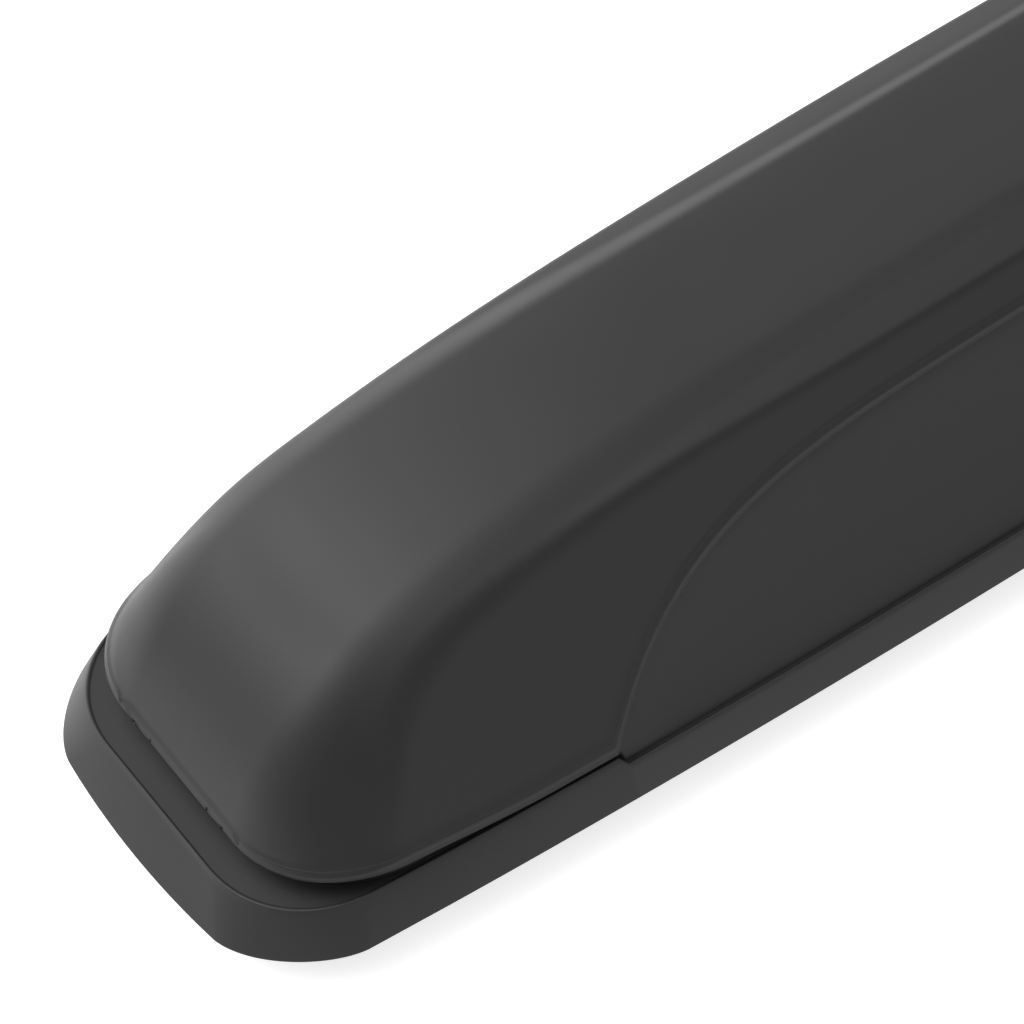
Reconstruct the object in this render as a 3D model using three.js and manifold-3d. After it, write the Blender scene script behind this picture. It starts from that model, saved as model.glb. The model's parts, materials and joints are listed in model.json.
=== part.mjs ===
// Roof cargo box: a base tray with a wide flange, a hinged lid that opens from the tail, gas
// struts, a tail lock with two bars and four clamps for a pair of crossbars.
// Millimetres. X runs from the nose to the tail, Y across, Z up; the claws' undersides are at 0.
import * as THREE from 'three';
import Module from 'manifold-3d';

const wasm = await Module();
wasm.setup();

// ---- overall sizes ------------------------------------------------------------------------------
const LENGTH = 2180; // nose to tail, outside the flange
const MID = LENGTH / 2;
const SKIN = 3.6; // lid and tray sheet
const GAP = 0.3; // between pieces that touch

// ---- plan outlines: half width amidships, how much the sides close in towards the ends, and
// the corners' lengths along the box and depths across it --------------------------------------
const LID_FOOT = {
  front: 86, rear: 78, half: 317, bow: 40, noseLength: 159, noseDepth: 157, tailLength: 120,
  tailDepth: 120, power: 2.13, toe: 0,
};
const NOSE_RIM = {
  front: 47, rear: 40, half: 318, bow: 51, noseLength: 147, noseDepth: 151, tailLength: 120,
  tailDepth: 122, power: 2.18, toe: 0,
};
const FLANGE_FOOT = {
  front: 0, rear: 0, half: 337, bow: 35, noseLength: 132, noseDepth: 129, tailLength: 120,
  tailDepth: 120, power: 1.76, toe: 31,
};

// ---- heights above the flange's lower edge ------------------------------------------------------
const LID_EDGE = 91; // lid's lower edge at the nose and the tail
const EDGE_DIP = 19; // how far the edge dips along the sides
const ROOF_CROWN = 4;
const NOSE_RIM_HEIGHT = 59.5;
const SIDE_RIM_HEIGHT = 50;
const SIDE_RIM_INSET = 15; // side rim inside the flange's foot
const LEDGE_HEIGHT = 57;
const FLOOR_TOP = 8;
const UPSTAND = 14; // tray wall standing up inside the lid's edge
const UPSTAND_CLEARANCE = 9; // lid's outer face to tray wall's outer face, across
const UPSTAND_INSET = 14; // upstand's foot inside the lid's edge at the nose
const FOLD_WIDTH = 14; // double wall's width at its top
const ARCH_PEAK = 292; // lower edge of the lid amidships
const ARCH_START = 535; // from the nose
const ARCH_RUN = 878;
const ARCH_POWER = 5.05;
const ARCH_END = 400; // from the tail
const ARCH_END_RUN = 560;
const ARCH_END_POWER = 3;
const WALL_SLOPE = 2.15; // rise per unit across

// ---- lid's raised middle and lower shoulder -----------------------------------------------------
const NOSE_ROUND = { rise: 151.7, length: 89.2, slopeRise: 138.7, slopeLength: 755.4, power: 2.3 };
const TAIL_ROUND = { rise: 215, length: 45, slopeRise: 87, slopeLength: 520, power: 1.8 };
const RIDGE_HALF = 114.4;
const RIDGE_NOSE = { extra: 7.8, at: 212.6, spread: 246 };
const RIDGE_TAIL = { extra: 34, at: 120, spread: 130 };
const RIDGE_DROP = 1.45; // slope beside the raised middle
const RIDGE_ROUND = 66.1; // extra width of the ends' rounder ridge
const SHOULDER_STEP = 24; // shoulder's outer edge below the roof amidships
const SHOULDER_SLOPE = 0.32;
const CREASE_STEP = 4; // raised middle above the shoulder's inner edge
const SHOULDER_NOSE = { drop: 167.3, at: 255.8, spread: 39.4 };
const SHOULDER_TAIL = { drop: 210, at: 250, spread: 75 };

// Rounding where the faces meet: added at the ends, and how far from each end it reaches.
const ROUNDING = { noseReach: 493.5, wallReach: 325.2, tailReach: 200, roof: 91.5, shoulder: 70, wall: 50 };

// ---- hinge, struts and lock ---------------------------------------------------------------------
const HINGE = { x: 135, z: LID_EDGE - 3, pinRadius: 4, running: 0.1, earRadius: 10, half: 46, ear: 6 };
const STRUT = {
  arm: 250, lowAngle: -8, spread: 40, across: 170, tubeRadius: 9, rodRadius: 4, tubeLength: 132,
  eyeRadius: 10, pin: 4, looseness: 3, running: 0.1, plateAt: 13,
};
const LOCK = {
  z: LID_EDGE + 48, half: 26, bore: 11, insideX: 126, outsideX: 75, knob: 21, knobDepth: 9, pinAt: 14,
};
const BAR = { half: 6, depth: 3, end: 128, slotHalf: 5.8, plateHalf: 11, beyondPin: 9 };
const STRIKER = { height: 60, width: 20, low: LID_EDGE + 3, clear: 3 };
const GUIDE = { across: 90, width: 8, below: 13, windowHalf: 7.5 };
const ROTOR = { radius: 20, thick: 4, pin: 2.5, shortPin: 8, longPin: 14 };
const CYLINDER = { radius: 7, length: 20 };
const KEY = { thick: 1.6, height: 7, out: 8, bow: 11, bowThick: 3, hole: 3 };


// ---- crossbar clamps ----------------------------------------------------------------------------
const CLAMP_STATIONS = [640, 1400];
const CLAMP_ACROSS = 190;
const CLAMP = {
  plate: 110, width: 48, plateThick: 4, carrier: 172, carrierThick: 14, arm: 5, legAt: 78,
  leg: 6, armInner: 38, toe: 24, claw: 50, clawWidth: 34, padHalf: 15, padThick: 10, spindle: 5,
  spindleRoom: 0.5, knob: 32, knobLobe: 4, knobHeight: 26, knobEdge: 2, slot: 220,
};

// ---- floor stiffeners and cargo straps ----------------------------------------------------------
const STIFFENER = { length: 1500, foot: 28, top: 20, height: 12, across: 62 };
const STRAP = { stations: [900, 1180], width: 26, thick: 1.6, reach: 262 };
const BUCKLE = { width: 40, across: 56, height: 9, wellWidth: 28, wellAcross: 34, floor: 3 };
const LEVER_PIVOT = 7.2; // above the buckle's foot

const FLOOR_UNDER = FLOOR_TOP - SKIN;
// Flange's lower edge above the claws' undersides, which are the lowest faces.
const TRAY_LIFT = CLAMP.claw + CLAMP.carrierThick + 2 * GAP - FLOOR_UNDER;

const V = (x, y, z) => new THREE.Vector3(x, y, z);
const clamp01 = (t) => Math.min(1, Math.max(0, t));
const ease = (t) => clamp01(t) ** 2 * (3 - 2 * clamp01(t));

// Smaller and larger of two heights, rounded where they meet.
function softMin(a, b, width) {
  const h = Math.max(width - Math.abs(a - b), 0) / width;
  return Math.min(a, b) - (h * h * width) / 4;
}
const softMax = (a, b, width) => -softMin(-a, -b, width);

// ---- outlines -----------------------------------------------------------------------------------
// What a corner takes off the half width at a fraction t of its length.
function cornerCut(t, depth, power) {
  return depth * (1 - (1 - (1 - clamp01(t)) ** power) ** (1 / power));
}

function halfWidth(outline, u) {
  const side = outline.half - outline.bow * ((u - MID) / MID) ** 2;
  const nose = (u - outline.front) / outline.noseLength;
  const tail = (LENGTH - outline.rear - u) / outline.tailLength;
  return (
    side - cornerCut(nose, outline.noseDepth, outline.power)
    - cornerCut(tail, outline.tailDepth, outline.power)
  );
}

const inset = (outline, by) => ({
  ...outline, front: outline.front + by, rear: outline.rear + by, half: outline.half - by,
});

// Fractions round half an outline: straight nose, corner, side stations, corner, straight tail.
const ACROSS_STEPS = 5;
const CORNER_STEPS = 8;
const SIDE = [
  255, 310, 370, 430, 490, ARCH_START - 2, ARCH_START + 8, 560, 600, 650, 710, 780, 860, 950,
  1050, 1150, 1260, 1360, 1450, 1530, 1600, 1660, 1710, 1750, LENGTH - ARCH_END - 8,
  LENGTH - ARCH_END + 2, 1840, 1900, 1965,
];

// Half an outline from the middle of the nose to the middle of the tail, as [along, across].
function halfLoop(outline) {
  const points = [];
  const { front, noseLength, tailLength, power, toe } = outline;
  const rearEnd = LENGTH - outline.rear;
  const add = (u, a) => points.push([u, a]);
  const straight = halfWidth(outline, front);
  for (let i = 0; i < ACROSS_STEPS; i++) add(front, (straight * i) / ACROSS_STEPS);
  for (let i = 0; i < CORNER_STEPS; i++) {
    const angle = (Math.PI / 2) * (i / CORNER_STEPS);
    const u = front + noseLength * (1 - Math.cos(angle) ** (2 / power));
    add(u, halfWidth(outline, u));
  }
  for (const u of SIDE) add(u, halfWidth(outline, u));
  for (let i = CORNER_STEPS - 1; i >= 0; i--) {
    const angle = (Math.PI / 2) * (i / CORNER_STEPS);
    const u = rearEnd - tailLength * (1 - Math.cos(angle) ** (2 / power));
    add(u, halfWidth(outline, u));
  }
  const rearStraight = halfWidth(outline, rearEnd);
  for (let i = ACROSS_STEPS - 1; i >= 0; i--) add(rearEnd, (rearStraight * i) / ACROSS_STEPS);
  const widest = outline.half - outline.bow;
  return points.map(([u, a]) => [
    u + (u < MID ? toe * (a / widest) ** 2 * (1 - ease((u - front) / 400)) : 0), a,
  ]);
}

// ---- heights along the box ----------------------------------------------------------------------
function roundedEnd(t, end) {
  const along = Math.max(t, 0);
  return (
    end.rise * (1 - Math.exp(-along / end.length))
    + end.slopeRise * (1 - (1 - clamp01(along / end.slopeLength)) ** end.power)
  );
}
const roofHeight = (u) =>
  LID_EDGE + softMin(
    roundedEnd(u - LID_FOOT.front, NOSE_ROUND),
    roundedEnd(LENGTH - LID_FOOT.rear - u, TAIL_ROUND), 6,
  );
const bump = (t, b) => b.extra * Math.exp(-(((t - b.at) / b.spread) ** 2));
const ridgeHalf = (u) => RIDGE_HALF + bump(u, RIDGE_NOSE) + bump(LENGTH - u, RIDGE_TAIL);
const step = (t, s) => s.drop / (1 + Math.exp((t - s.at) / s.spread));
const shoulderHeight = (u) =>
  roofHeight(u) - SHOULDER_STEP - step(u, SHOULDER_NOSE) - step(LENGTH - u, SHOULDER_TAIL);
const footHeight = (u) =>
  LID_EDGE - EDGE_DIP * ease((u - 150) / 300) * ease((LENGTH - u - 130) / 250);

function archShare(u) {
  const t = clamp01((u - ARCH_START) / ARCH_RUN);
  const r = clamp01((LENGTH - ARCH_END - u) / ARCH_END_RUN);
  return Math.min(1 - (1 - t) ** ARCH_POWER, 1 - (1 - r) ** ARCH_END_POWER);
}
const edgeHeight = (u) => footHeight(u) + (ARCH_PEAK - footHeight(u)) * archShare(u);
// Share of the side, rather than nose or tail, section: switches at the arch's two ends.
const sideShare = (u) =>
  clamp01((u - ARCH_START) / 8) * clamp01((LENGTH - ARCH_END - u) / 8);
const wallAcross = (u, z) => halfWidth(LID_FOOT, u) - (z - footHeight(u)) / WALL_SLOPE;

// ---- lid's outer face ---------------------------------------------------------------------------
function bareLid(u, a) {
  const foot = halfWidth(LID_FOOT, u);
  const shoulderTop = shoulderHeight(u);
  const shoulderAt = foot - (shoulderTop - footHeight(u)) / WALL_SLOPE;
  const nose = Math.max(u - LID_FOOT.front, 0);
  const tail = Math.exp(-Math.max(LENGTH - LID_FOOT.rear - u, 0) / ROUNDING.tailReach);
  const round = Math.max(Math.exp(-nose / ROUNDING.noseReach), tail);
  const wallRound = Math.max(Math.exp(-nose / ROUNDING.wallReach), tail);
  const half = ridgeHalf(u) + RIDGE_ROUND * round;
  const crown = ROOF_CROWN * ease((u - 90) / 300) * ease((LENGTH - 90 - u) / 200);
  const roof = roofHeight(u) + crown * (1 - (a / half) ** 2);
  const drop = roofHeight(u) - RIDGE_DROP * (a - half);
  const slope = shoulderTop + SHOULDER_SLOPE * (shoulderAt - a);
  const shoulder = softMin(slope, roof - CREASE_STEP, 6);
  const wall = footHeight(u) + WALL_SLOPE * (foot - a);
  const raised = softMin(roof, drop, 8 + ROUNDING.roof * round);
  const top = softMax(raised, shoulder, 8 + ROUNDING.shoulder * round);
  return softMin(top, wall, 9 + ROUNDING.wall * wallRound);
}

function lidHeight(u, a) {
  const foot = halfWidth(LID_FOOT, u);
  return bareLid(u, a) + (footHeight(u) - bareLid(u, foot)) * clamp01(a / foot) ** 8;
}

// Across position at which the lid's wall is down to its edge.
function edgeAcross(u) {
  const target = edgeHeight(u);
  let low = 0.5 * halfWidth(LID_FOOT, u);
  let high = halfWidth(LID_FOOT, u);
  if (target <= footHeight(u) + 1e-6) return high;
  for (let i = 0; i < 40; i++) {
    const middle = (low + high) / 2;
    if (lidHeight(u, middle) > target) low = middle;
    else high = middle;
  }
  return low;
}

function lidNormal(u, a) {
  const h = 0.5;
  const back = Math.max(u - h, LID_FOOT.front);
  const rise = lidHeight(u + h, Math.abs(a)) - lidHeight(back, Math.abs(a));
  const along = rise / (u + h - back);
  const across = (lidHeight(u, Math.abs(a + h)) - lidHeight(u, Math.abs(a - h))) / (2 * h);
  return V(-along, -across, 1).normalize();
}

// Height just clear of the lid's inner face, allowing for its slope.
function underLid(u, a, clear) {
  const normal = lidNormal(u, a);
  return lidHeight(u, a) - SKIN / normal.z - clear / normal.z;
}

// ---- mesh building ------------------------------------------------------------------------------
function geometryOf(points, faces) {
  const geometry = new THREE.BufferGeometry();
  const flat = points.flatMap((p) => [p.x, p.y, p.z]);
  geometry.setAttribute('position', new THREE.Float32BufferAttribute(flat, 3));
  geometry.setIndex(faces.flat());
  geometry.computeVertexNormals();
  return geometry;
}

// A sheet between two grids of points (rows by columns) that share their layout.
function sheet(outer, inner) {
  const rows = outer.length;
  const columns = outer[0].length;
  const points = [...outer.flat(), ...inner.flat()];
  const base = rows * columns;
  const at = (i, j) => i * columns + j;
  const faces = [];
  const quad = (a, b, c, d) => faces.push([a, b, c], [a, c, d]);
  for (let i = 0; i + 1 < rows; i++) {
    for (let j = 0; j + 1 < columns; j++) {
      quad(at(i, j), at(i + 1, j), at(i + 1, j + 1), at(i, j + 1));
      quad(base + at(i, j), base + at(i, j + 1), base + at(i + 1, j + 1), base + at(i + 1, j));
    }
  }
  for (let j = 0; j + 1 < columns; j++) {
    quad(at(0, j), at(0, j + 1), base + at(0, j + 1), base + at(0, j));
    const last = rows - 1;
    quad(at(last, j + 1), at(last, j), base + at(last, j), base + at(last, j + 1));
  }
  for (let i = 0; i + 1 < rows; i++) {
    quad(at(i + 1, 0), at(i, 0), base + at(i, 0), base + at(i + 1, 0));
    const last = columns - 1;
    quad(at(i, last), at(i + 1, last), base + at(i + 1, last), base + at(i, last));
  }
  return geometryOf(points, faces);
}

// A closed skin through loops given as half loops of [along, across, height]. With caps, the
// first and last loops are filled across; without them the last loop joins the first.
function skinLoops(halves, capped) {
  const n = halves[0].length;
  const count = 2 * n - 2;
  const full = halves.map((half) => [
    ...half.map(([u, a, z]) => V(u - MID, a, z)),
    ...half.slice(1, -1).reverse().map(([u, a, z]) => V(u - MID, -a, z)),
  ]);
  const points = full.flat();
  const faces = [];
  const joins = capped ? full.length - 1 : full.length;
  for (let r = 0; r < joins; r++) {
    const one = r * count;
    const two = ((r + 1) % full.length) * count;
    for (let k = 0; k < count; k++) {
      const next = (k + 1) % count;
      faces.push([one + k, two + next, two + k], [one + k, one + next, two + next]);
    }
  }
  if (capped) {
    const last = (full.length - 1) * count;
    const mirror = (k) => (count - k) % count;
    for (let k = 0; k + 1 < n; k++) {
      const [a, b, c, d] = [k, k + 1, mirror(k + 1), mirror(k)];
      if (b !== c) faces.push([a, c, b], [last + a, last + b, last + c]);
      if (a !== d) faces.push([a, d, c], [last + a, last + c, last + d]);
    }
  }
  return geometryOf(points, faces);
}

function material(color, roughness, metalness = 0) {
  return new THREE.MeshStandardMaterial({ color, roughness, metalness });
}
const FINISH = {
  lid: () => material(0x2c2c2d, 0.55),
  tray: () => material(0x29292a, 0.58),
  trim: () => material(0x1c1c1d, 0.5),
  rubber: () => material(0x121212, 0.85),
  steel: () => material(0x9a9da0, 0.35, 0.9),
  paint: () => material(0x17181a, 0.35, 0.3),
  webbing: () => material(0x232425, 0.9),
  knob: () => material(0x8d1f1c, 0.45),
};

function mesh(name, geometry, finish, x = 0, y = 0, z = 0) {
  const node = new THREE.Mesh(geometry, FINISH[finish]());
  node.name = name;
  node.position.set(x, y, z);
  return node;
}

// ---- solids from plain shapes -------------------------------------------------------------------
function toSolid(geometry) {
  const flat = geometry.index ? geometry.toNonIndexed() : geometry;
  const position = flat.attributes.position;
  const unique = new Map();
  const vertices = [];
  const triangles = [];
  for (let i = 0; i < position.count; i++) {
    const p = [position.getX(i), position.getY(i), position.getZ(i)];
    const key = p.map((v) => Math.round(v * 1e4)).join(',');
    if (!unique.has(key)) {
      unique.set(key, vertices.length / 3);
      vertices.push(...p);
    }
    triangles.push(unique.get(key));
  }
  const kept = [];
  for (let i = 0; i < triangles.length; i += 3) {
    const [a, b, c] = triangles.slice(i, i + 3);
    if (a !== b && b !== c && c !== a) kept.push(a, b, c);
  }
  return new wasm.Manifold(new wasm.Mesh({
    numProp: 3, vertProperties: new Float32Array(vertices), triVerts: new Uint32Array(kept),
  }));
}

function fromSolid(solid) {
  const { vertProperties, triVerts, numProp } = solid.getMesh();
  const geometry = new THREE.BufferGeometry();
  const points = [];
  for (let i = 0; i < vertProperties.length; i += numProp) {
    points.push(vertProperties[i], vertProperties[i + 1], vertProperties[i + 2]);
  }
  geometry.setAttribute('position', new THREE.Float32BufferAttribute(points, 3));
  geometry.setIndex([...triVerts]);
  geometry.computeVertexNormals();
  return geometry;
}

const joined = (...parts) => fromSolid(parts.map(toSolid).reduce((a, b) => a.add(b)));
const cutFrom = (whole, ...holes) =>
  fromSolid(holes.map(toSolid).reduce((a, b) => a.subtract(b), toSolid(whole)));

const box = (x, y, z, cx = 0, cy = 0, cz = 0) =>
  new THREE.BoxGeometry(x, y, z).translate(cx, cy, cz);
const rod = (radius, length, segments = 24) =>
  new THREE.CylinderGeometry(radius, radius, length, segments);

// A shape drawn in X and Z, given its width across Y and centred there.
function plateXZ(shape, width, across = 0) {
  const geometry = new THREE.ExtrudeGeometry(shape, {
    depth: width, bevelEnabled: false, curveSegments: 10,
  });
  return geometry.rotateX(Math.PI / 2).translate(0, across + width / 2, 0);
}

function circleHole(x, y, radius) {
  const path = new THREE.Path();
  path.absarc(x, y, radius, 0, 2 * Math.PI, true);
  return path;
}

function rectangle(x0, y0, x1, y1) {
  const shape = new THREE.Shape();
  shape.moveTo(x0, y0).lineTo(x1, y0).lineTo(x1, y1).lineTo(x0, y1).closePath();
  return shape;
}

// ---- lid ----------------------------------------------------------------------------------------
const LID_STATIONS = [
  0, 1.5, 5, 11, 20, 32, 48, 68, 92, 120, 152, 190, 235, 290, 350, 410,
].map((t) => t + LID_FOOT.front);
const LID_TAIL_STATIONS = [
  0, 1.5, 5, 11, 20, 32, 48, 68, 92, 120, 155, 200, 255,
].map((t) => LENGTH - LID_FOOT.rear - t).reverse();
const LID_COLUMNS = 12;

function lidStations() {
  const between = SIDE.filter(
    (u) => u > LID_STATIONS.at(-1) + 8 && u < LID_TAIL_STATIONS[0] - 8,
  ).map((u) => (Math.abs(u - ARCH_START) < 9 ? (u < ARCH_START ? ARCH_START - 6 : ARCH_START) : u));
  return [...LID_STATIONS, ...between, ...LID_TAIL_STATIONS];
}

function lidShell() {
  const outer = [];
  const inner = [];
  const stations = lidStations();
  stations.forEach((u, row) => {
    const edge = edgeAcross(u);
    const outerRow = [];
    const innerRow = [];
    for (let j = -LID_COLUMNS; j <= LID_COLUMNS; j++) {
      const a = (edge * j) / LID_COLUMNS;
      const onEdge = Math.abs(j) === LID_COLUMNS || row === 0 || row === stations.length - 1;
      const z = Math.abs(j) === LID_COLUMNS ? edgeHeight(u) : lidHeight(u, Math.abs(a));
      const point = V(u - MID, a, z);
      const normal = lidNormal(u, a * (onEdge ? 0.999 : 1));
      if (onEdge) normal.setZ(0).normalize();
      outerRow.push(point);
      innerRow.push(point.clone().addScaledVector(normal, -SKIN));
    }
    outer.push(outerRow);
    inner.push(innerRow);
  });
  const shell = sheet(outer, inner);
  const opening = rod(LOCK.half + 0.5, 60, 32).rotateZ(Math.PI / 2)
    .translate(MID - LID_FOOT.rear - 12, 0, LOCK.z);
  return mesh('lid_shell', cutFrom(shell, opening), 'lid');
}

// ---- tray ---------------------------------------------------------------------------------------
// Half loop whose nose and tail follow one outline and whose sides follow another.
function blendLoop(endOutline, sideAcross, endHeight, sideHeight) {
  return halfLoop(endOutline).map(([u, a]) => {
    const share = sideShare(u);
    const across = share > 0 ? a + (sideAcross(u) - a) * share : a;
    return [u, across, endHeight(u) + (sideHeight(u) - endHeight(u)) * share];
  });
}

const sideRim = (u) => halfWidth(FLANGE_FOOT, u) - SIDE_RIM_INSET;
const flat = (z) => () => z;
const wallTop = (u) => edgeHeight(u) + UPSTAND;
const topInset = UPSTAND / WALL_SLOPE + UPSTAND_CLEARANCE;
const topAcross = (u) => wallAcross(u, wallTop(u)) - UPSTAND_CLEARANCE;

function wallLoop(extraInset, lower) {
  return blendLoop(
    inset(LID_FOOT, topInset + extraInset), (u) => topAcross(u) - extraInset,
    (u) => wallTop(u) - lower, (u) => wallTop(u) - lower,
  );
}

function footLoop(extraInset, endHeight, sideHeight) {
  return blendLoop(
    inset(LID_FOOT, UPSTAND_INSET + extraInset), (u) => sideRim(u) - 7 - extraInset,
    flat(endHeight), flat(sideHeight),
  );
}

function rimLoop(extraInset, lower) {
  return blendLoop(
    inset(NOSE_RIM, extraInset), (u) => sideRim(u) - extraInset,
    flat(NOSE_RIM_HEIGHT - lower), flat(SIDE_RIM_HEIGHT - lower),
  );
}

function trayGeometry() {
  const slant = SKIN * 1.1;
  const groove = SIDE_RIM_HEIGHT - 4;
  const loops = [
    footLoop(20, FLOOR_TOP, FLOOR_TOP),
    footLoop(16, LEDGE_HEIGHT, groove),
    wallLoop(FOLD_WIDTH, 0),
    wallLoop(0, 0),
    footLoop(0, LEDGE_HEIGHT, groove),
    rimLoop(4, 1.2),
    rimLoop(0, 0),
    rimLoop(-2.5, 5),
    halfLoop(FLANGE_FOOT).map(([u, a]) => [u, a, 0]),
    halfLoop(inset(FLANGE_FOOT, SKIN)).map(([u, a]) => [u, a, 0]),
    rimLoop(slant, 6.5),
    footLoop(slant, LEDGE_HEIGHT - SKIN, groove - SKIN),
    wallLoop(slant, SKIN),
    wallLoop(FOLD_WIDTH - slant, SKIN),
    footLoop(16 - slant, LEDGE_HEIGHT, groove),
    footLoop(20 - slant, FLOOR_TOP - SKIN, FLOOR_TOP - SKIN),
  ];
  return skinLoops(loops, true);
}

function baseTray() {
  const slots = [];
  for (const station of CLAMP_STATIONS) {
    for (const side of [-1, 1]) {
      slots.push(box(CLAMP.slot, 2 * CLAMP.spindle + 3, 20, station - MID, side * CLAMP_ACROSS, 6));
    }
  }
  return mesh('base_tray', cutFrom(trayGeometry(), ...slots), 'tray');
}

function weatherSeal() {
  const low = -GAP;
  const high = -GAP - 4;
  const loops = [wallLoop(3, low), wallLoop(3, high), wallLoop(FOLD_WIDTH - 3, high),
    wallLoop(FOLD_WIDTH - 3, low)];
  return mesh('weather_seal', skinLoops(loops.reverse(), false), 'rubber');
}

function stiffener(name, side) {
  const shape = new THREE.Shape();
  const { length, foot, top, height, across } = STIFFENER;
  shape.moveTo(-foot / 2, 0).lineTo(foot / 2, 0).lineTo(top / 2, height);
  shape.lineTo(-top / 2, height).closePath();
  const geometry = new THREE.ExtrudeGeometry(shape, { depth: length, bevelEnabled: false });
  geometry.rotateX(Math.PI / 2).rotateZ(Math.PI / 2).translate(-length / 2, 0, 0);
  return mesh(name, geometry, 'steel', 0, side * across, FLOOR_TOP + GAP);
}

// ---- nose hinge ---------------------------------------------------------------------------------
const hingeX = HINGE.x - MID;

function hingeBracket() {
  const { half, ear, earRadius, pinRadius, running } = HINGE;
  const low = FLOOR_TOP + GAP;
  const shape = new THREE.Shape();
  shape.moveTo(hingeX - 4, low).lineTo(hingeX + 44, low).lineTo(hingeX + 40, low + 14);
  shape.lineTo(hingeX + earRadius, HINGE.z - 4);
  shape.absarc(hingeX, HINGE.z, earRadius, 0, Math.PI, false);
  shape.closePath();
  shape.holes.push(circleHole(hingeX, HINGE.z, pinRadius + running));
  const ears = [-1, 1].map((side) => plateXZ(shape, ear, side * (half - ear / 2)));
  const foot = box(48, 2 * half, 4, hingeX + 20, 0, low + 2);
  return mesh('hinge_bracket', joined(foot, ...ears), 'paint');
}

function hingePin() {
  const length = 2 * HINGE.half + 2;
  const pin = rod(HINGE.pinRadius, length);
  const head = rod(HINGE.pinRadius + 3, 3).translate(0, length / 2 + 1.5, 0);
  return mesh('hinge_pin', joined(pin, head), 'steel', hingeX, 0, HINGE.z);
}

// Arm from the hinge pin up to a pad lying just under the lid's sloping nose.
function hingeLeaf() {
  const { earRadius, pinRadius, running, half, ear } = HINGE;
  const inner = (u) => underLid(u, half, 2.2);
  const shape = new THREE.Shape();
  shape.moveTo(hingeX + earRadius, HINGE.z);
  shape.lineTo(hingeX + earRadius + 6, inner(146) - 26);
  shape.lineTo(190 - MID, inner(190) - 16);
  shape.lineTo(226 - MID, inner(226) - 6);
  for (const u of [226, 205, 185, 165, 150]) shape.lineTo(u - MID, inner(u));
  // This edge leans back so that it stays clear of the tray's nose wall when the lid is up.
  shape.lineTo(hingeX, HINGE.z + 28).lineTo(hingeX - earRadius, HINGE.z);
  shape.absarc(hingeX, HINGE.z, earRadius, Math.PI, 2 * Math.PI, false);
  shape.closePath();
  shape.holes.push(circleHole(hingeX, HINGE.z, pinRadius + running));
  return mesh('hinge_leaf', plateXZ(shape, 2 * (half - ear - 2), 0), 'paint');
}

// ---- gas struts ---------------------------------------------------------------------------------
function turned(degrees) {
  const angle = (degrees * Math.PI) / 180;
  return [Math.cos(angle), Math.sin(angle)];
}
const [lowCos, lowSin] = turned(STRUT.lowAngle);
const [highCos, highSin] = turned(STRUT.lowAngle + STRUT.spread);
const strutLow = [hingeX + STRUT.arm * lowCos, HINGE.z + STRUT.arm * lowSin];
const strutHigh = [hingeX + STRUT.arm * highCos, HINGE.z + STRUT.arm * highSin];
const strutSpan = Math.hypot(strutHigh[0] - strutLow[0], strutHigh[1] - strutLow[1]);
const strutLean = Math.atan2(strutHigh[1] - strutLow[1], strutHigh[0] - strutLow[0]);

// Places a piece drawn along +Y so that it runs from the strut's lower pivot to its upper one.
function alongStrut(name, geometry, finish, side) {
  geometry.rotateX(Math.PI / 2).rotateY(Math.PI / 2 - strutLean);
  return mesh(name, geometry, finish, strutLow[0], side * STRUT.across, strutLow[1]);
}

function eye(hole, outer, width) {
  const shape = new THREE.Shape();
  shape.absarc(0, 0, outer, 0, 2 * Math.PI, false);
  shape.holes.push(circleHole(0, 0, hole));
  const ring = new THREE.ExtrudeGeometry(shape, {
    depth: width, bevelEnabled: false, curveSegments: 12,
  });
  return ring.translate(0, 0, -width / 2);
}

function strutTube(name, side) {
  const { tubeRadius, rodRadius, tubeLength, eyeRadius, pin, running } = STRUT;
  const start = eyeRadius - 1;
  const profile = [
    [0, start], [tubeRadius, start], [tubeRadius, start + tubeLength],
    [rodRadius + running, start + tubeLength], [rodRadius + running, start + 6], [0, start + 6],
  ].map(([r, y]) => new THREE.Vector2(r, y));
  const tube = new THREE.LatheGeometry(profile, 24);
  return alongStrut(name, joined(tube, eye(pin + running, eyeRadius, 8)), 'paint', side);
}

function strutRod(name, side) {
  const { rodRadius, eyeRadius, pin, looseness } = STRUT;
  const end = strutSpan - eyeRadius + 1;
  const bar = rod(rodRadius, end - 20).translate(0, 20 + (end - 20) / 2, 0);
  const ring = eye(pin + looseness, eyeRadius + 1, 8).translate(0, strutSpan, 0);
  return alongStrut(name, joined(bar, ring), 'steel', side);
}

// A 4 mm plate beside the strut and the stub pin that it carries.
function plateAndPin(shape, x, z, side) {
  const { across, plateAt, pin } = STRUT;
  const reach = plateAt + 5;
  const plate = plateXZ(shape, 4, side * (across + plateAt));
  const stub = rod(pin, reach).translate(x, side * (across + plateAt - reach / 2), z);
  return [plate, stub];
}

// Upright plate on the floor with a stub pin that the strut's lower eye turns on.
function strutFoot(name, side) {
  const low = FLOOR_TOP + GAP;
  const [x, z] = strutLow;
  const shape = new THREE.Shape();
  shape.moveTo(x - 22, low).lineTo(x + 22, low).lineTo(x + 9, z);
  shape.absarc(x, z, 9, 0, Math.PI, false);
  shape.closePath();
  const flange = box(44, 24, 3, x, side * (STRUT.across + STRUT.plateAt + 10), low + 1.5);
  return mesh(name, joined(...plateAndPin(shape, x, z, side), flange), 'paint');
}

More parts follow.
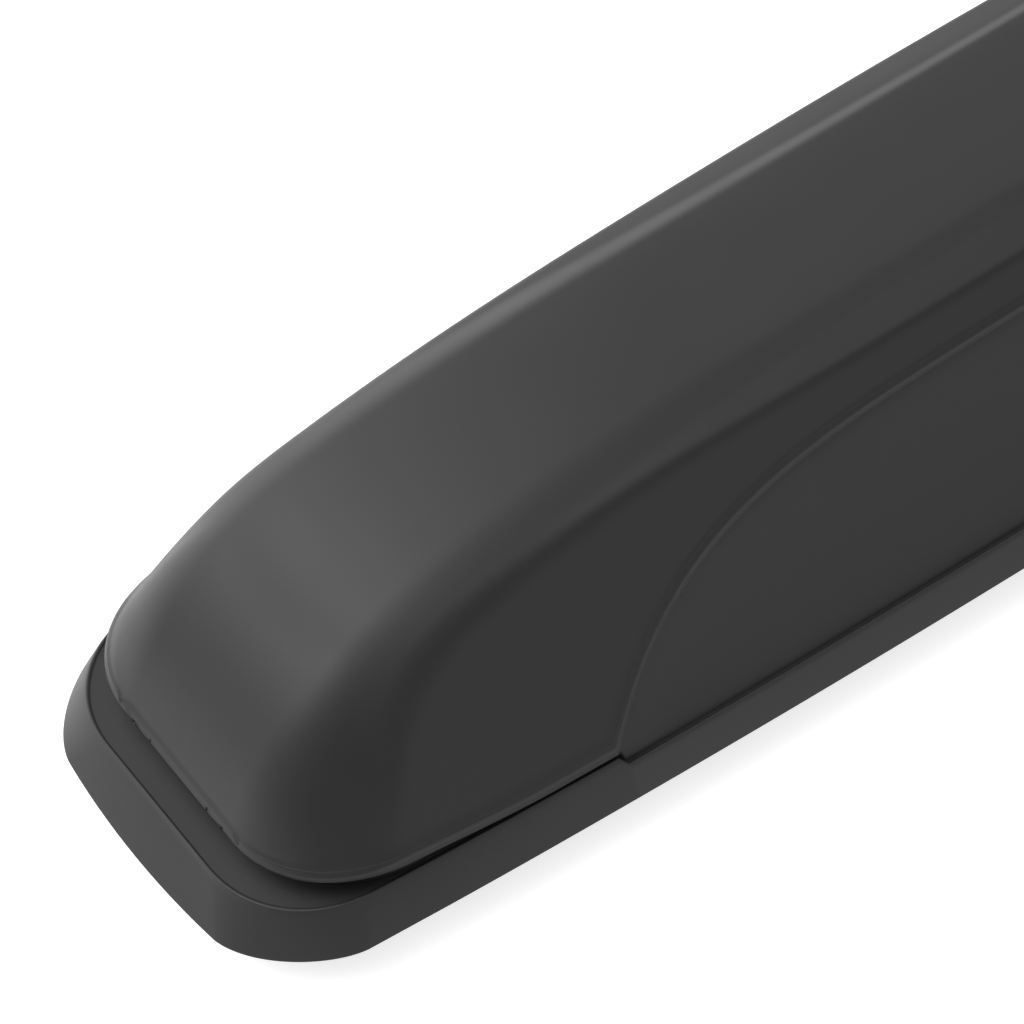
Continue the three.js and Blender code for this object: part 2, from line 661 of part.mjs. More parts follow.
// Hanger under the lid with a stub pin inside the rod's loose eye.
function strutHanger(name, side) {
  const [x, z] = strutHigh;
  const under = (u) => underLid(u + MID, STRUT.across + STRUT.plateAt + 5, 3);
  const shape = new THREE.Shape();
  shape.moveTo(x + 9, z).lineTo(x + 24, under(x + 24)).lineTo(x, under(x));
  shape.lineTo(x - 24, under(x - 24)).lineTo(x - 9, z);
  shape.absarc(x, z, 9, Math.PI, 2 * Math.PI, false);
  shape.closePath();
  return mesh(name, joined(...plateAndPin(shape, x, z, side)), 'paint');
}

// ---- tail lock ----------------------------------------------------------------------------------
const lockInside = MID - LOCK.insideX;
const lockOutside = MID - LOCK.outsideX;
const alongX = (geometry) => geometry.rotateZ(-Math.PI / 2);

function lathe(points, segments = 32) {
  return new THREE.LatheGeometry(points.map(([r, y]) => new THREE.Vector2(r, y)), segments);
}

function lockHousing() {
  const { half, bore, knob, knobDepth } = LOCK;
  const length = lockOutside - lockInside;
  const recess = length - knobDepth - 1;
  const profile = [
    [bore + 0.3, 0], [half, 0], [half, length], [knob + 1, length], [knob + 1, recess],
    [bore + 0.3, recess], [bore + 0.3, 0],
  ];
  return mesh('lock_housing', alongX(lathe(profile)), 'trim', lockInside, 0, LOCK.z);
}

function lockHandle() {
  const { bore, knob, knobDepth } = LOCK;
  const length = lockOutside - lockInside;
  const face = length - knobDepth;
  const { radius } = CYLINDER;
  const deep = length - CYLINDER.length - 1;
  const profile = [
    [0, -2], [bore, -2], [bore, face], [knob, face], [knob, length], [radius + 0.3, length],
    [radius + 0.3, deep], [0, deep],
  ];
  const body = alongX(lathe(profile));
  const grips = [-1, 1].map((s) => box(10, 9, 12, length + 4, 0, s * (radius + 7.5)));
  return mesh('lock_handle', joined(body, ...grips), 'paint', lockInside, 0, LOCK.z);
}

function lockCylinder() {
  const { radius, length } = CYLINDER;
  const plug = alongX(rod(radius, length, 24));
  const slot = box(length - 3, 2.4, 8, 2, 0, 0);
  const x = lockOutside - length / 2;
  return mesh('lock_cylinder', cutFrom(plug, slot), 'steel', x, 0, LOCK.z);
}

function key() {
  const { thick, height, out, bow, bowThick, hole } = KEY;
  const inside = CYLINDER.length - 4;
  const middle = lockOutside + (out - inside) / 2;
  const blade = box(inside + out, thick, height, middle, 0, LOCK.z);
  const shape = new THREE.Shape();
  shape.absarc(0, 0, bow, 0, 2 * Math.PI, false);
  shape.holes.push(circleHole(4, 0, hole));
  const grip = new THREE.ExtrudeGeometry(shape, {
    depth: bowThick, bevelEnabled: false, curveSegments: 10,
  });
  grip.rotateX(Math.PI / 2).translate(lockOutside + out + bow - 2, bowThick / 2, LOCK.z);
  return mesh('key', joined(blade, grip), 'steel');
}

function lockRotor() {
  const x = lockInside - 2 - GAP;
  const { radius, thick, pin, shortPin, longPin } = ROTOR;
  const disc = alongX(rod(radius, thick, 28)).translate(x - thick / 2, 0, LOCK.z);
  const [short, long] = [shortPin, longPin].map((length, i) => alongX(rod(pin, length, 16))
    .translate(x - thick + 1 - length / 2, 0, LOCK.z + (i === 0 ? 1 : -1) * LOCK.pinAt));
  return mesh('lock_rotor', joined(disc, long, short), 'steel');
}

// Sliding bar: a plate with an upright slot round the rotor's pin and a strip out to the striker.
function lockBar(name, side) {
  const { half, end, slotHalf, plateHalf, beyondPin } = BAR;
  const top = side < 0 ? LOCK.pinAt + beyondPin : half;
  const low = side < 0 ? -half : -LOCK.pinAt - beyondPin;
  const shape = new THREE.Shape();
  const at = (y, z) => [side * y, z];
  const path = [
    at(-plateHalf, low), at(plateHalf, low), at(plateHalf, -half), at(end, -half),
    at(end, half), at(plateHalf, half), at(plateHalf, top), at(-plateHalf, top),
  ];
  shape.setFromPoints(path.map(([y, z]) => new THREE.Vector2(y, z)));
  const hole = side < 0
    ? rectangle(-slotHalf, -4, slotHalf, LOCK.pinAt + 5)
    : rectangle(-slotHalf, -LOCK.pinAt - 5, slotHalf, 4);
  shape.holes.push(hole);
  const plate = new THREE.ExtrudeGeometry(shape, { depth: BAR.depth, bevelEnabled: false });
  plate.rotateX(Math.PI / 2).rotateZ(Math.PI / 2);
  const x = lockInside - 2 - GAP - ROTOR.thick - (side < 0 ? 1 : 6) - BAR.depth;
  return mesh(name, plate, 'steel', x, 0, LOCK.z);
}

// Bracket under the lid's tail with a window that the bar slides through.
function barGuide(name, side) {
  const { across, width, below, windowHalf } = GUIDE;
  const low = LOCK.z - below;
  const x0 = lockInside - 22;
  const under = (x) => underLid(x + MID, across + width / 2, 2.2);
  const shape = new THREE.Shape();
  const far = MID - LID_FOOT.rear - 26;
  shape.moveTo(x0, low).lineTo(far, low).lineTo(far, under(far)).lineTo(x0, under(far));
  shape.closePath();
  shape.holes.push(rectangle(x0 + 5, LOCK.z - windowHalf, lockInside - 3, LOCK.z + windowHalf));
  return mesh(name, plateXZ(shape, width, side * across), 'trim');
}

function striker(name, side) {
  const wall = MID - LID_FOOT.rear - UPSTAND_INSET - 16 - 5;
  const x0 = lockInside - 24;
  const shape = rectangle(x0, STRIKER.low, wall, STRIKER.low + STRIKER.height);
  shape.holes.push(rectangle(x0 + 4, LOCK.z - 8, lockInside - 2, LOCK.z + 8));
  const across = BAR.end + STRIKER.clear + STRIKER.width / 2;
  return mesh(name, plateXZ(shape, STRIKER.width, side * across), 'paint');
}

// ---- cargo straps -------------------------------------------------------------------------------
function strap(name, x) {
  const { width, thick, reach } = STRAP;
  const low = FLOOR_TOP + GAP;
  const top = low + STIFFENER.height + GAP;
  const raised = STIFFENER.across + STIFFENER.foot / 2 + 20;
  const lying = raised + 34;
  const path = [
    [-reach, low], [-lying, low], [-raised, top], [raised, top], [lying, low], [reach, low],
  ];
  const shape = new THREE.Shape();
  shape.setFromPoints([
    ...path.map(([y, z]) => new THREE.Vector2(y, z)),
    ...path.map(([y, z]) => new THREE.Vector2(y, z + thick)).reverse(),
  ]);
  const geometry = new THREE.ExtrudeGeometry(shape, { depth: width, bevelEnabled: false });
  geometry.rotateX(Math.PI / 2).rotateZ(Math.PI / 2).translate(x - MID - width / 2, 0, 0);
  return mesh(name, geometry, 'webbing');
}

const buckleLow = FLOOR_TOP + STIFFENER.height + 3 * GAP + STRAP.thick;

function buckleFrame(name, x) {
  const { width, across, height, wellWidth, wellAcross, floor } = BUCKLE;
  const body = box(width, across, height, 0, 0, height / 2);
  const well = box(wellWidth, wellAcross, height, 0, 6, floor + height / 2);
  return mesh(name, cutFrom(body, well), 'paint', x - MID, 0, buckleLow);
}

function camLever(name, x) {
  const shape = new THREE.Shape();
  shape.moveTo(-2.5, -2.5).lineTo(5, -3).lineTo(16, 3).lineTo(16, 5.5).lineTo(-2, 3);
  shape.closePath();
  const width = BUCKLE.wellWidth - 2;
  const lever = new THREE.ExtrudeGeometry(shape, { depth: width, bevelEnabled: false });
  lever.rotateX(Math.PI / 2).rotateZ(Math.PI / 2).translate(-width / 2, 0, 0);
  return mesh(name, lever, 'steel', x - MID, 0, buckleLow + LEVER_PIVOT);
}

// ---- crossbar clamps ----------------------------------------------------------------------------
function knobGeometry() {
  const { knob, knobLobe, knobEdge, knobHeight, spindle } = CLAMP;
  const shape = new THREE.Shape();
  const steps = 27;
  for (let i = 0; i < steps; i++) {
    const angle = (2 * Math.PI * i) / steps;
    const radius = knob - knobLobe + knobLobe * Math.cos(3 * angle);
    const point = [radius * Math.cos(angle), radius * Math.sin(angle)];
    if (i === 0) shape.moveTo(...point);
    else shape.lineTo(...point);
  }
  shape.closePath();
  const grip = new THREE.ExtrudeGeometry(shape, {
    depth: knobHeight - 2 * knobEdge, bevelEnabled: true, bevelThickness: knobEdge,
    bevelSize: knobEdge, bevelSegments: 1, bevelOffset: -knobEdge,
  });
  const bottom = FLOOR_TOP + GAP + CLAMP.plateThick + GAP;
  grip.translate(0, 0, bottom + knobEdge);
  const low = FLOOR_UNDER - GAP - CLAMP.carrierThick + 1;
  const high = bottom + 2 * knobEdge;
  const post = rod(spindle, high - low).rotateX(Math.PI / 2).translate(0, 0, (high + low) / 2);
  return joined(grip, post);
}

function clawGeometry(side) {
  const { armInner, legAt, leg, arm, claw, clawWidth, toe } = CLAMP;
  const top = FLOOR_UNDER - GAP - CLAMP.carrierThick - GAP;
  const low = top - claw;
  const outer = legAt + leg;
  const shape = new THREE.Shape();
  const points = [
    [armInner, top], [outer, top], [outer, low + 8], [outer - 8, low], [outer - toe, low],
    [outer - toe, low + 5], [legAt - 4, low + 6], [legAt, low + 12], [legAt, top - arm - 6],
    [legAt - 6, top - arm], [armInner, top - arm],
  ];
  shape.setFromPoints(points.map(([x, z]) => new THREE.Vector2(side * x, z)));
  return plateXZ(shape, clawWidth, 0);
}

function clampSet(tag, station, side) {
  const group = new THREE.Group();
  group.name = `clamp_${tag}`;
  group.position.set(station - MID, side * CLAMP_ACROSS, 0);
  const {
    plate, width, plateThick, carrier, carrierThick, spindle, spindleRoom, padHalf, padThick,
  } = CLAMP;
  const hole = (z = 0) => rod(spindle + spindleRoom, 40).rotateX(Math.PI / 2).translate(0, 0, z);
  const top = FLOOR_UNDER - GAP;
  const plateAt = FLOOR_TOP + GAP + plateThick / 2;
  const topPlate = cutFrom(box(plate, width, plateThick, 0, 0, plateAt), hole());
  const under = top - carrierThick;
  const base = cutFrom(
    box(carrier, width - 4, carrierThick, 0, 0, top - carrierThick / 2), hole(20.5 + under),
  );
  const pad = box(2 * padHalf, width - 8, padThick, 0, 0, under - GAP - padThick / 2);
  group.add(
    mesh(`${tag}_plate`, topPlate, 'paint'),
    mesh(`${tag}_knob`, knobGeometry(), 'knob'),
    mesh(`${tag}_carrier`, base, 'trim'),
    mesh(`${tag}_pad`, pad, 'rubber'),
    mesh(`${tag}_claw_front`, clawGeometry(-1), 'paint'),
    mesh(`${tag}_claw_rear`, clawGeometry(1), 'paint'),
  );
  return group;
}

// ---- the whole box ------------------------------------------------------------------------------
const part = new THREE.Group();
part.name = 'roof_cargo_box';
part.position.z = TRAY_LIFT;
part.add(
  baseTray(), weatherSeal(), stiffener('stiffener_left', -1), stiffener('stiffener_right', 1),
  hingeBracket(), hingePin(), hingeLeaf(), lidShell(),
  strutFoot('strut_foot_left', -1), strutFoot('strut_foot_right', 1),
  strutHanger('strut_hanger_left', -1), strutHanger('strut_hanger_right', 1),
  strutTube('strut_tube_left', -1), strutTube('strut_tube_right', 1),
  strutRod('strut_rod_left', -1), strutRod('strut_rod_right', 1),
  lockHousing(), lockHandle(), lockCylinder(), key(), lockRotor(),
  lockBar('lock_bar_left', -1), lockBar('lock_bar_right', 1),
  barGuide('bar_guide_left', -1), barGuide('bar_guide_right', 1),
  striker('striker_left', -1), striker('striker_right', 1),
  strap('strap_front', STRAP.stations[0]), strap('strap_rear', STRAP.stations[1]),
  buckleFrame('buckle_front', STRAP.stations[0]), buckleFrame('buckle_rear', STRAP.stations[1]),
  camLever('cam_lever_front', STRAP.stations[0]), camLever('cam_lever_rear', STRAP.stations[1]),
  clampSet('nose_left', CLAMP_STATIONS[0], -1), clampSet('nose_right', CLAMP_STATIONS[0], 1),
  clampSet('tail_left', CLAMP_STATIONS[1], -1), clampSet('tail_right', CLAMP_STATIONS[1], 1),
);

export default part;
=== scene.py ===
"""Finished looks of a roof cargo box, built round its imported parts.

The lid and the tray are shown by finer skins that follow the outlines and heights of the parts
that they stand for; the lid's skin is smoother across the raised middle near the nose. Every
other part is shown as it is, with its own finish. Lengths in the form classes are millimetres,
measured from the flange's nose end and its lower edge; meshes are written in metres in the shared
frame.
"""

import json
import logging
import math
from dataclasses import dataclass, field, replace
from enum import Enum

import bpy
import numpy as np
from mathutils import Matrix, Vector

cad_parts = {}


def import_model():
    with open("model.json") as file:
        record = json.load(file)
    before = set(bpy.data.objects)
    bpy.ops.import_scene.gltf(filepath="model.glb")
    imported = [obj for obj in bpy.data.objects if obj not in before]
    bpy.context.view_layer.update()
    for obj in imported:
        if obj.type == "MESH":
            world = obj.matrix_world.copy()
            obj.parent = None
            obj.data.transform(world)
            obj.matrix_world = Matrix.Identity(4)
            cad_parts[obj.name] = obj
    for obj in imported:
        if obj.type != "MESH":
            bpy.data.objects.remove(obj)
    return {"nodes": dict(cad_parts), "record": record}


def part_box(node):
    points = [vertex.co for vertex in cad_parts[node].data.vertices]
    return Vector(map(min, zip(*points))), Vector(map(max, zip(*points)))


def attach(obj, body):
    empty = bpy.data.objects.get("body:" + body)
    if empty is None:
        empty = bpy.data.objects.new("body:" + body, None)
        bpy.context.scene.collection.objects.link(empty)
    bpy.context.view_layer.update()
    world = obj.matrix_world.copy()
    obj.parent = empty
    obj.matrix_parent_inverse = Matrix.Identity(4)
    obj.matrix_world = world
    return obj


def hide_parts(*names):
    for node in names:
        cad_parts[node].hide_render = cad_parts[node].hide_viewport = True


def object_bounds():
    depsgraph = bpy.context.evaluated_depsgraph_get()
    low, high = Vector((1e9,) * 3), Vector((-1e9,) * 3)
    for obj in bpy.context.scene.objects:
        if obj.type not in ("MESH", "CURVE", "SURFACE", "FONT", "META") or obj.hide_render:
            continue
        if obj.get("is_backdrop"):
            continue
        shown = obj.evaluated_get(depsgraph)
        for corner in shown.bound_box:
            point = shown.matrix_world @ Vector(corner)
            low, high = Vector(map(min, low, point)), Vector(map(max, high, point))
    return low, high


LOG = logging.getLogger("roof_box")
METRE = 0.001  # one millimetre in metres
Array = np.ndarray

LIP_BAND = 13.0  # width of the band along the lid's lower edge, in millimetres
LINE_DEPTH = 0.0006  # of the line along the band's top, in metres
BROAD_CELLS = 9.0  # cells in a metre of the slow wandering of colour and roughness


# ---- shader graph --------------------------------------------------------------------------------
class Graph:
    """Node tree of one material or world, with a method that makes any node."""

    def __init__(self, tree: bpy.types.NodeTree) -> None:
        tree.nodes.clear()
        self.tree = tree

    def node(self, kind: str, settings: dict | None = None, inputs: dict | None = None):
        """Makes one node.

        Args:
            kind: The node's type name.
            settings: Properties to set on it.
            inputs: Input name or number to a constant or a Sock.

        Returns:
            The new node.
        """
        made = self.tree.nodes.new(kind)
        for name, value in (settings or {}).items():
            setattr(made, name, value)
        for key, value in (inputs or {}).items():
            if isinstance(value, Sock):
                self.tree.links.new(value.socket, made.inputs[key])
            else:
                made.inputs[key].default_value = value
        return made

    def sock(self, kind: str, output, settings: dict | None = None, inputs: dict | None = None):
        """Makes one node and returns one of its outputs as a Sock."""
        return Sock(self, self.node(kind, settings, inputs).outputs[output])

    def mix(self, share, low: tuple, high: tuple) -> "Sock":
        """Colour between two linear colours."""
        settings = {"data_type": "RGBA", "clamp_factor": True}
        return self.sock("ShaderNodeMix", 2, settings, {0: share, 6: (*low, 1), 7: (*high, 1)})


class Sock:
    """One output of a node tree; sums and products of it make the nodes they need."""

    def __init__(self, graph: Graph, socket) -> None:
        self.graph = graph
        self.socket = socket

    def math(self, operation: str, *others) -> "Sock":
        """A Math node on this value and others, in that order."""
        inputs = dict(enumerate((self, *others)))
        return self.graph.sock("ShaderNodeMath", 0, {"operation": operation}, inputs)

    def _flip(self, operation: str, other) -> "Sock":
        inputs = {0: other, 1: self}
        return self.graph.sock("ShaderNodeMath", 0, {"operation": operation}, inputs)

    def __add__(self, other) -> "Sock":
        return self.math("ADD", other)

    def __sub__(self, other) -> "Sock":
        return self.math("SUBTRACT", other)

    def __mul__(self, other) -> "Sock":
        return self.math("MULTIPLY", other)

    def __truediv__(self, other) -> "Sock":
        return self.math("DIVIDE", other)

    def __rsub__(self, other) -> "Sock":
        return self._flip("SUBTRACT", other)

    def __rtruediv__(self, other) -> "Sock":
        return self._flip("DIVIDE", other)

    __radd__ = __add__
    __rmul__ = __mul__

    def ramp(self, low: float, high: float, to_low: float = 0.0, to_high: float = 1.0) -> "Sock":
        """Smooth step of this value from low..high to to_low..to_high."""
        settings = {"interpolation_type": "SMOOTHSTEP"}
        inputs = {0: self, 1: low, 2: high, 3: to_low, 4: to_high}
        return self.graph.sock("ShaderNodeMapRange", 0, settings, inputs)


class Weave(Enum):
    """Surface pattern of a finish."""

    GRAIN = "fine moulded grain"
    BRUSHED = "lines along the piece"
    TWILL = "woven webbing"


@dataclass(frozen=True)
class Finish:
    """One material slot's look.

    Args:
        slot: The record's slot name.
        colour: Linear base colour.
        roughness: Mean roughness.
        metallic: 0 or 1.
        weave: Surface pattern.
        cells: Pattern cells in a metre.
        relief: Bump height in metres.
        mottle: Share by which the base colour wanders.
        specular: Specular level, 0.5 for plain plastic.
        lip: Whether the piece carries the lid's edge distance.
        wander: How far the roughness goes either way.
    """

    slot: str
    colour: tuple[float, float, float]
    roughness: float
    metallic: float = 0.0
    weave: Weave = Weave.GRAIN
    cells: float = 900.0
    relief: float = 0.00004
    mottle: float = 0.06
    specular: float = 0.5
    lip: bool = False
    wander: float = 0.015

    def build(self) -> bpy.types.Material:
        """Makes the material.

        Returns:
            A Principled material whose pattern follows the piece's own coordinates.
        """
        made = bpy.data.materials.new(f"finish_{self.slot}")
        made.use_nodes = True
        graph = Graph(made.node_tree)
        place = graph.sock("ShaderNodeTexCoord", "Object")
        fine = self._pattern(graph, place)
        broad = self._noise(graph, place, BROAD_CELLS, 3.0)
        dark = tuple(c * (1 - self.mottle) for c in self.colour)
        light = tuple(c * (1 + self.mottle) for c in self.colour)
        base = graph.mix(broad * 0.6 + fine * 0.4, dark, light)
        rough = broad.ramp(0.3, 0.7, self.roughness - self.wander, self.roughness + self.wander)
        inputs = {"Metallic": self.metallic, "Specular IOR Level": self.specular}
        normal = graph.sock(
            "ShaderNodeBump", 0, {}, {"Strength": 0.5, "Distance": self.relief, "Height": fine}
        )
        if self.lip:
            normal = self._lip(graph, normal)
        inputs |= {"Base Color": base, "Roughness": rough, "Normal": normal}
        shader = graph.sock("ShaderNodeBsdfPrincipled", 0, {}, inputs)
        graph.node("ShaderNodeOutputMaterial", {}, {"Surface": shader})
        return made

    def _noise(self, graph: Graph, place: "Sock", scale: float, detail: float) -> "Sock":
        inputs = {"Vector": place, "Scale": scale, "Detail": detail, "Roughness": 0.55}
        return graph.sock("ShaderNodeTexNoise", 0, {}, inputs)

    def _pattern(self, graph: Graph, place: "Sock") -> "Sock":
        if self.weave is Weave.BRUSHED:
            inputs = {"Vector": place, "Scale": (40.0, self.cells, self.cells)}
            stretched = graph.sock("ShaderNodeMapping", 0, {}, inputs)
            return self._noise(graph, stretched, 1.0, 2.0)
        if self.weave is Weave.TWILL:
            inputs = {"Vector": place, "Scale": self.cells, "Distortion": 0.4, "Detail": 1.0}
            return graph.sock("ShaderNodeTexWave", 1, {"bands_direction": "DIAGONAL"}, inputs)
        return self._noise(graph, place, self.cells, 2.0)

    def _lip(self, graph: Graph, normal: "Sock") -> "Sock":
        """Fine line along the top of the lid's edge band, fading out over the arch."""
        away = graph.sock("ShaderNodeAttribute", "Fac", {"attribute_name": "edge"})
        strength = graph.sock("ShaderNodeAttribute", "Fac", {"attribute_name": "line"})
        line = 1 - (away - LIP_BAND).math("ABSOLUTE").ramp(0.2, 0.9)
        inputs = {"Strength": strength, "Distance": LINE_DEPTH, "Height": 1 - line}
        inputs["Normal"] = normal
        return graph.sock("ShaderNodeBump", 0, {}, inputs)


FINISHES = (
    Finish("lid_skin", (0.02, 0.02, 0.0205), 0.45, specular=0.27, lip=True),
    Finish("tray_skin", (0.022, 0.022, 0.0225), 0.47, specular=0.3),
    Finish("trim", (0.014, 0.014, 0.0145), 0.42, cells=700.0),
    Finish("rubber", (0.008, 0.008, 0.008), 0.75, cells=500.0, relief=0.0001),
    Finish("steel", (0.52, 0.53, 0.54), 0.32, 1.0, Weave.BRUSHED, 900.0, 0.00003),
    Finish("extrusion", (0.62, 0.63, 0.64), 0.36, 1.0, Weave.BRUSHED, 700.0, 0.00003),
    Finish("paint", (0.012, 0.012, 0.013), 0.34, cells=450.0, relief=0.00008),
    Finish("webbing", (0.02, 0.02, 0.021), 0.85, 0.0, Weave.TWILL, 420.0, 0.0005, 0.25),
    Finish("knob", (0.32, 0.016, 0.012), 0.4, cells=600.0),
)


# ---- forms shared by the skins -------------------------------------------------------------------
LENGTH = 2180.0
MID = LENGTH / 2
SKIN = 3.6


def clamp01(t: Array) -> Array:
    """Values held between 0 and 1."""
    return np.clip(t, 0.0, 1.0)


def ease(t: Array) -> Array:
    """Smooth step from 0 to 1."""
    return clamp01(t) ** 2 * (3 - 2 * clamp01(t))


def soft_min(a: Array, b: Array, width: Array) -> Array:
    """Smaller of two heights, rounded over width where they meet."""
    h = np.maximum(width - np.abs(a - b), 0) / width
    return np.minimum(a, b) - h * h * width / 4


def soft_max(a: Array, b: Array, width: Array) -> Array:
    """Larger of two heights, rounded over width where they meet."""
    return -soft_min(-a, -b, width)


@dataclass(frozen=True)
class Outline:
    """Plan outline: a nearly straight front, two super-ellipse corners and bowed sides."""

    front: float
    rear: float
    half: float
    bow: float
    nose: tuple[float, float]
    tail: tuple[float, float]
    power: float
    toe: float = 0.0

    def _cut(self, t: Array, depth: float) -> Array:
        return depth * (1 - (1 - (1 - clamp01(t)) ** self.power) ** (1 / self.power))

    def width(self, u: Array) -> Array:
        """Half width at distance u from the nose: bowed side less what each corner takes off."""
        side = self.half - self.bow * ((u - MID) / MID) ** 2
        nose = self._cut((u - self.front) / self.nose[0], self.nose[1])
        return side - nose - self._cut((LENGTH - self.rear - u) / self.tail[0], self.tail[1])

    def inset(self, by: float) -> "Outline":
        """The same outline drawn in by a distance all round."""
        return replace(self, front=self.front + by, rear=self.rear + by, half=self.half - by)


LID_FOOT = Outline(86, 78, 317, 40, (159, 157), (120, 120), 2.13)
NOSE_RIM = Outline(47, 40, 318, 51, (147, 151), (120, 122), 2.18)
FLANGE = Outline(0, 0, 337, 35, (132, 129), (120, 120), 1.76, 31)


@dataclass(frozen=True)
class EndRise:
    """How the roof rises from one end: a quick round, then a long easing slope."""

    rise: float
    length: float
    slope_rise: float
    slope_length: float
    power: float = 1.8

    def height(self, t: Array) -> Array:
        """Rise at distance t from that end."""
        along = np.maximum(t, 0)
        quick = self.rise * (1 - np.exp(-along / self.length))
        return quick + self.slope_rise * (1 - (1 - clamp01(along / self.slope_length)) ** self.power)


@dataclass(frozen=True)
class Bump:
    """A change of size near one end: how much, at what distance and how widely spread."""

    size: float
    at: float
    spread: float

    def bell(self, t: Array) -> Array:
        """Bell round its place, at distance t from the end."""
        return self.size * np.exp(-(((t - self.at) / self.spread) ** 2))

    def step(self, t: Array) -> Array:
        """Its size at the end, easing to nothing beyond its place."""
        return self.size / (1 + np.exp((t - self.at) / self.spread))


@dataclass(frozen=True)
class LidForm:
    """Heights of the lid's outer face.

    Args:
        edge: Lower edge at the nose and the tail.
        edge_dip: How far the edge dips along the sides.
        nose: Roof's rise from the nose.
        tail: Roof's rise from the tail.
        arch_peak: Lower edge's height amidships.
        arch_start: Where the arch starts, from the nose.
        arch_run: Length over which it rises.
        arch_power: How soon it rises.
        arch_end: Where it ends, from the tail.
        arch_end_run: Length over which it comes down.
        arch_end_power: How soon it comes down.
        wall: Wall's rise per unit across.
        crown: Crown of the raised middle.
        ridge_half: Half width of the raised middle.
        ridge_nose: Extra half width near the nose.
        ridge_tail: Extra half width near the tail.
        ridge_round: Extra half width of the rounder ends.
        ridge_slope: Slope beside the raised middle.
        shoulder_step: Shoulder's outer edge below the roof.
        shoulder_nose: Extra drop of that edge at the nose.
        shoulder_tail: Extra drop of that edge at the tail.
        shoulder_slope: Shoulder's slope across.
        crease_step: Raised middle above the shoulder's inner edge.
        middle_round: Distance from the middle line within which the shoulder's plane is rounded.
        reach: How far the rounding reaches from the nose, for the roof and for the wall, and from
            the tail.
    """

    edge: float = 91.0
    edge_dip: float = 19.0
    nose: EndRise = EndRise(151.7, 89.2, 138.7, 755.4, 2.3)
    tail: EndRise = EndRise(215, 45, 87, 520)
    arch_peak: float = 292.0
    arch_start: float = 535.0
    arch_run: float = 878.0
    arch_power: float = 5.05
    arch_end: float = 400.0
    arch_end_run: float = 560.0
    arch_end_power: float = 3
    wall: float = 2.15
    crown: float = 4.0
    ridge_half: float = 114.4
    ridge_nose: Bump = Bump(7.8, 212.6, 246)
    ridge_tail: Bump = Bump(34, 120, 130)
    ridge_round: float = 66.1
    ridge_slope: float = 1.45
    shoulder_step: float = 24.0
    shoulder_nose: Bump = Bump(167.3, 255.8, 39.4)
    shoulder_tail: Bump = Bump(210, 250, 75)
    shoulder_slope: float = 0.32
    crease_step: float = 4.0
    middle_round: float = 110.0
    reach: tuple[float, float, float] = (493.5, 325.2, 200)

    def roof(self, u: Array) -> Array:
        """Height of the roof's middle line."""
        nose = self.nose.height(u - LID_FOOT.front)
        return self.edge + soft_min(nose, self.tail.height(LENGTH - LID_FOOT.rear - u), 6.0)

    def foot(self, u: Array) -> Array:
        """Height of the lid's lower edge without the arch."""
        return self.edge - self.edge_dip * ease((u - 150) / 300) * ease((LENGTH - u - 130) / 250)

    def shoulder(self, u: Array) -> Array:
        """Height of the shoulder's outer edge: just under the roof, dropping away at both ends."""
        drop = self.shoulder_nose.step(u) + self.shoulder_tail.step(LENGTH - u)
        return self.roof(u) - self.shoulder_step - drop

    def lower_edge(self, u: Array) -> Array:
        """Height of the lower edge with its long arch over the tray's side panel."""
        t = clamp01((u - self.arch_start) / self.arch_run)
        r = clamp01((LENGTH - self.arch_end - u) / self.arch_end_run)
        rise = 1 - (1 - t) ** self.arch_power
        share = np.minimum(rise, 1 - (1 - r) ** self.arch_end_power)
        return self.foot(u) + (self.arch_peak - self.foot(u)) * share

    def height(self, u: Array, a: Array) -> Array:
        """Height at u and distance a from the middle line.

        The raised middle falls away beside its ridge on to the sloping shoulder, which meets the
        wall; each meeting is rounded, more so towards the ends.
        """
        foot = LID_FOOT.width(u)
        base = self._bare(u, a)
        return base + (self.foot(u) - self._bare(u, foot)) * clamp01(a / foot) ** 8

    def _bare(self, u: Array, a: Array) -> Array:
        foot = LID_FOOT.width(u)
        top = self.shoulder(u)
        shoulder_at = foot - (top - self.foot(u)) / self.wall
        blunt, wall_blunt = self._rounding(u)
        half = self.ridge_half + self.ridge_nose.bell(u) + self.ridge_round * blunt
        half = half + self.ridge_tail.bell(LENGTH - u)
        crown = self.crown * ease((u - 90) / 300) * ease((LENGTH - 90 - u) / 200)
        roof = self.roof(u) + crown * (1 - (a / half) ** 2)
        drop = self.roof(u) - self.ridge_slope * (a - half)
        within = self.middle_round
        inner = np.where(a < within, (a * a / within + within) / 2, a)
        slope = top + self.shoulder_slope * (shoulder_at - inner)
        shoulder = soft_min(slope, roof - self.crease_step, 6.0 + 34 * blunt)
        wall = self.foot(u) + self.wall * (foot - a)
        raised = soft_min(roof, drop, 8 + 91.5 * blunt)
        return soft_min(soft_max(raised, shoulder, 8 + 70 * blunt), wall, 9 + 50 * wall_blunt)

    def _rounding(self, u: Array) -> tuple[Array, Array]:
        """Shares of the ends' extra rounding: of the roof and shoulder, and of the wall."""
        near = np.maximum(u - LID_FOOT.front, 0)
        roof, wall, rear = self.reach
        tail = np.exp(-np.maximum(LENGTH - LID_FOOT.rear - u, 0) / rear)
        blunt = np.maximum(np.exp(-near / roof), tail)
        return blunt, np.maximum(np.exp(-near / wall), tail)

    def edge_across(self, u: Array) -> Array:
        """Distance from the middle line at which the wall is down to its lower edge."""
        high = LID_FOOT.width(u)
        target = self.lower_edge(u)
        flat = target <= self.foot(u) + 1e-6
        low, top = 0.5 * high, high.copy()
        for _ in range(40):
            middle = (low + top) / 2
            above = self.height(u, middle) > target
            low, top = np.where(above, middle, low), np.where(above, top, middle)
        return np.where(flat, high, low)

